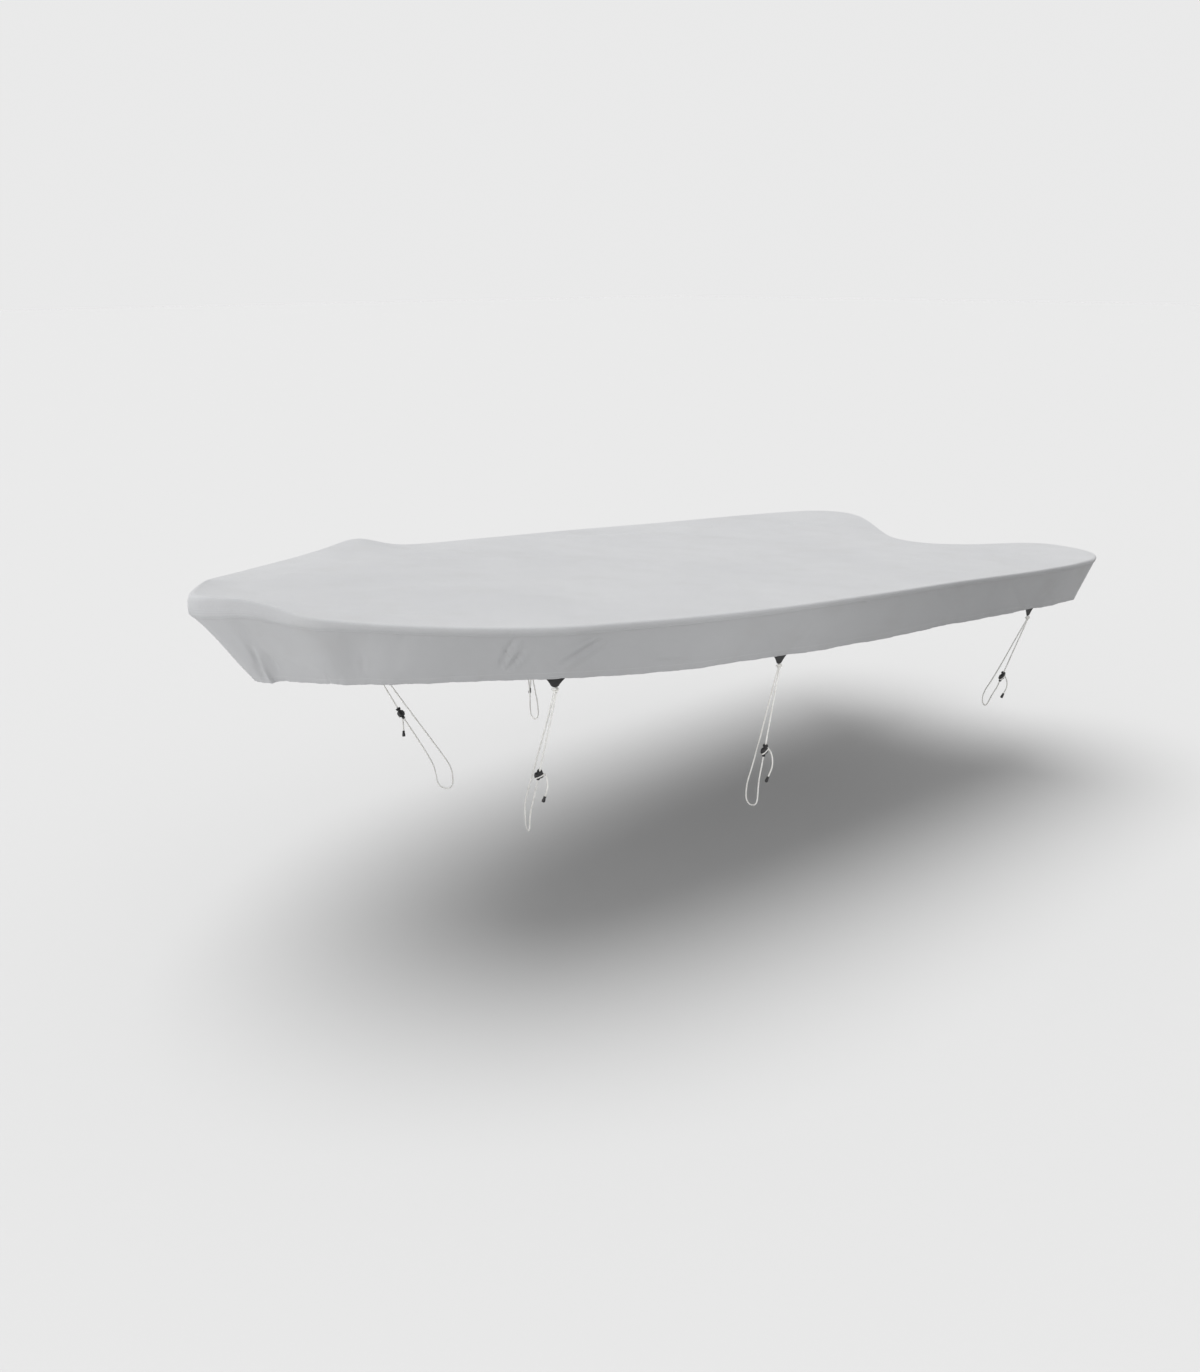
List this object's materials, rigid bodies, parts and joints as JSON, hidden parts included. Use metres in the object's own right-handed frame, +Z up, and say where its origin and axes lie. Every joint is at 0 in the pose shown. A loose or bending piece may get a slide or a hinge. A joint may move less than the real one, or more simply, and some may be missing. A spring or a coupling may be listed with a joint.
{
  "type": "boat cover",
  "caption": "Fitted cloth cover for an open dinghy, with a side skirt, a hem, a motor cut-out at the stern and cord ties with locks.",
  "frame": {"origin": "middle of the underside of the top cloth, on the boat's centre line, where the boat under it holds the cover up", "axes": "+X towards the stern, +Y towards starboard, +Z up; the bow points along -X"},
  "size_m": [4.3107, 1.7942, 1.0515],
  "materials": {
    "cover_cloth": "light grey coated polyester canvas, close plain weave, matt",
    "tab_webbing": "black woven webbing, matt",
    "tie_cord": "white braided cord, matt",
    "lock_plastic": "black moulded nylon, satin"
  },
  "bodies": {
    "root": {"top_cloth": "cover_cloth", "skirt_port": "cover_cloth", "skirt_starboard": "cover_cloth", "tab_fore_port": "tab_webbing", "knot_fore_port": "tie_cord", "strand_short_fore_port": "tie_cord", "strand_long_fore_port": "tie_cord", "lock_fore_port": "lock_plastic", "tail_fore_port": "tie_cord", "cap_fore_port": "lock_plastic", "tab_fore_starboard": "tab_webbing", "knot_fore_starboard": "tie_cord", "strand_short_fore_starboard": "tie_cord", "strand_long_fore_starboard": "tie_cord", "lock_fore_starboard": "lock_plastic", "tail_fore_starboard": "tie_cord", "cap_fore_starboard": "lock_plastic", "tab_mid_port": "tab_webbing", "knot_mid_port": "tie_cord", "strand_short_mid_port": "tie_cord", "strand_long_mid_port": "tie_cord", "lock_mid_port": "lock_plastic", "tail_mid_port": "tie_cord", "cap_mid_port": "lock_plastic", "tab_mid_starboard": "tab_webbing", "knot_mid_starboard": "tie_cord", "strand_short_mid_starboard": "tie_cord", "strand_long_mid_starboard": "tie_cord", "lock_mid_starboard": "lock_plastic", "tail_mid_starboard": "tie_cord", "cap_mid_starboard": "lock_plastic", "tab_aft_port": "tab_webbing", "knot_aft_port": "tie_cord", "strand_short_aft_port": "tie_cord", "strand_long_aft_port": "tie_cord", "lock_aft_port": "lock_plastic", "tail_aft_port": "tie_cord", "cap_aft_port": "lock_plastic", "tab_aft_starboard": "tab_webbing", "knot_aft_starboard": "tie_cord", "strand_short_aft_starboard": "tie_cord", "strand_long_aft_starboard": "tie_cord", "lock_aft_starboard": "lock_plastic", "tail_aft_starboard": "tie_cord", "cap_aft_starboard": "lock_plastic"}
  },
  "joints": []
}
